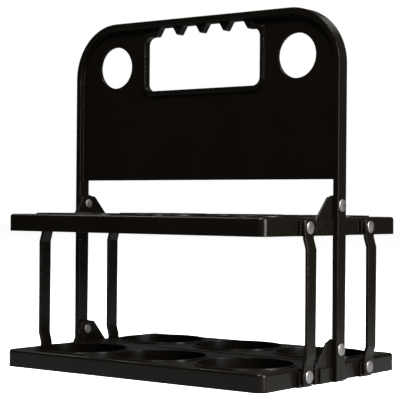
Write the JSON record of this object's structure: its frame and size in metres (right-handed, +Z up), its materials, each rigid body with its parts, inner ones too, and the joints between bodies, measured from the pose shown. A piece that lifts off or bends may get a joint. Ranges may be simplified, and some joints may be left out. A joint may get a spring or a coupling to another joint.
{
  "type": "foldable bottle carrier",
  "caption": "Black plastic carrier with a central grip handle, and half trays and half frames on riveted arms that fold up flat against the handle.",
  "frame": {"origin": "on the floor under the middle of the handle", "axes": "+X along the rows of bottles, +Y across them to the rear row, +Z up"},
  "size_m": [0.2828, 0.199, 0.2992],
  "materials": {
    "black_moulding": "black semi-gloss moulded plastic",
    "rivet_metal": "satin"
  },
  "bodies": {
    "handle_body": {"handle": "black_moulding", "leg_rivet_right_lower": "rivet_metal", "leg_rivet_right_upper": "rivet_metal", "leg_rivet_left_lower": "rivet_metal", "leg_rivet_left_upper": "rivet_metal"},
    "front_tray_body": {"front_tray": "black_moulding", "arm_rivet_front_right_lower": "rivet_metal", "arm_rivet_front_left_lower": "rivet_metal"},
    "front_frame_body": {"front_top_frame": "black_moulding", "arm_rivet_front_right_upper": "rivet_metal", "arm_rivet_front_left_upper": "rivet_metal"},
    "arm_front_right_body": {"arm_front_right": "black_moulding"},
    "arm_front_left_body": {"arm_front_left": "black_moulding"},
    "rear_tray_body": {"rear_tray": "black_moulding", "arm_rivet_rear_right_lower": "rivet_metal", "arm_rivet_rear_left_lower": "rivet_metal"},
    "rear_frame_body": {"rear_top_frame": "black_moulding", "arm_rivet_rear_right_upper": "rivet_metal", "arm_rivet_rear_left_upper": "rivet_metal"},
    "arm_rear_right_body": {"arm_rear_right": "black_moulding"},
    "arm_rear_left_body": {"arm_rear_left": "black_moulding"}
  },
  "joints": [
    {"name": "front_tray_fold", "type": "hinge", "parent": "handle_body", "child": "front_tray_body", "pos_m": [0, 0, 0.0253], "axis": [-1, 0, 0], "range_deg": [0, 90]},
    {"name": "front_frame_fold", "type": "hinge", "parent": "handle_body", "child": "front_frame_body", "pos_m": [0, 0, 0.1393], "axis": [-1, 0, 0], "range_deg": [0, 90]},
    {"name": "arm_front_right_turn", "type": "hinge", "parent": "front_tray_body", "child": "arm_front_right_body", "pos_m": [0.1377, -0.0453, 0.008], "axis": [1, 0, 0], "range_deg": [0, 90]},
    {"name": "arm_front_left_turn", "type": "hinge", "parent": "front_tray_body", "child": "arm_front_left_body", "pos_m": [-0.1377, -0.0453, 0.008], "axis": [1, 0, 0], "range_deg": [0, 90]},
    {"name": "rear_tray_fold", "type": "hinge", "parent": "handle_body", "child": "rear_tray_body", "pos_m": [0, 0, 0.0253], "axis": [1, 0, 0], "range_deg": [0, 90]},
    {"name": "rear_frame_fold", "type": "hinge", "parent": "handle_body", "child": "rear_frame_body", "pos_m": [0, 0, 0.1393], "axis": [1, 0, 0], "range_deg": [0, 90]},
    {"name": "arm_rear_right_turn", "type": "hinge", "parent": "rear_tray_body", "child": "arm_rear_right_body", "pos_m": [0.1377, 0.0453, 0.008], "axis": [-1, 0, 0], "range_deg": [0, 90]},
    {"name": "arm_rear_left_turn", "type": "hinge", "parent": "rear_tray_body", "child": "arm_rear_left_body", "pos_m": [-0.1377, 0.0453, 0.008], "axis": [-1, 0, 0], "range_deg": [0, 90]}
  ],
  "couplings": [
    {"joint": "front_frame_fold", "follows": "front_tray_fold", "ratio": 1},
    {"joint": "arm_front_right_turn", "follows": "front_tray_fold", "ratio": 1},
    {"joint": "arm_front_left_turn", "follows": "front_tray_fold", "ratio": 1},
    {"joint": "rear_frame_fold", "follows": "rear_tray_fold", "ratio": 1},
    {"joint": "arm_rear_right_turn", "follows": "rear_tray_fold", "ratio": 1},
    {"joint": "arm_rear_left_turn", "follows": "rear_tray_fold", "ratio": 1}
  ]
}
